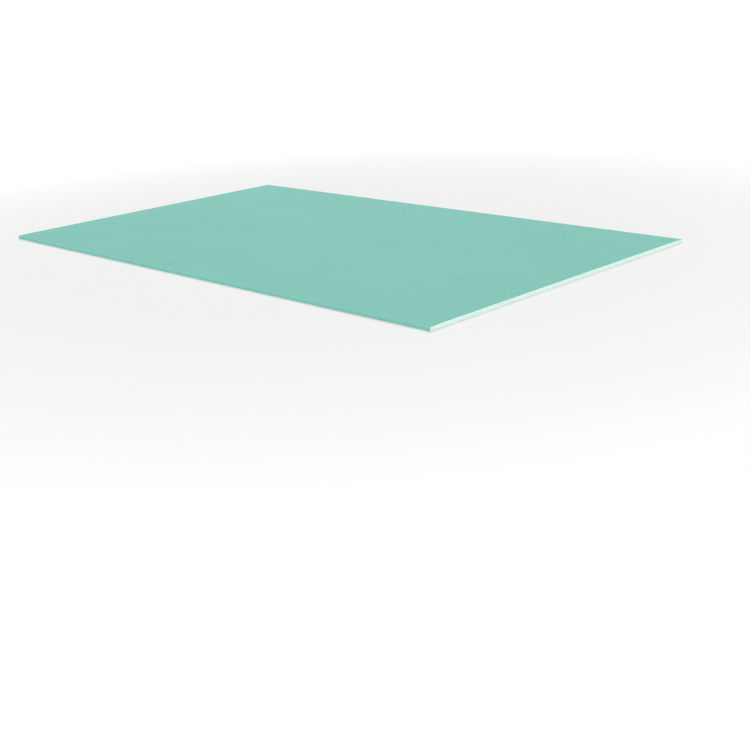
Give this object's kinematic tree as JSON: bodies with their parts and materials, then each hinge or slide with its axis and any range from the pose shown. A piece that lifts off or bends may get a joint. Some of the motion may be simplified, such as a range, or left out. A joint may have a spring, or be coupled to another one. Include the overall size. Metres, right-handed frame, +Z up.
{
  "type": "drywall sheet",
  "caption": "Moisture-resistant gypsum board: a pale core between papers, with tapered, paper-wrapped long edges and square cut ends.",
  "frame": {"origin": "middle of the back face, on the plane that the sheet rests on", "axes": "+X along the sheet, +Y across it, +Z up, out of the tapered green face"},
  "size_m": [2, 1.2, 0.0125],
  "materials": {
    "gypsum": "matte",
    "green_paper": "matte",
    "grey_paper": "matte"
  },
  "bodies": {
    "root": {"gypsum_core": "gypsum", "face_paper": "green_paper", "back_paper": "grey_paper"}
  },
  "joints": []
}
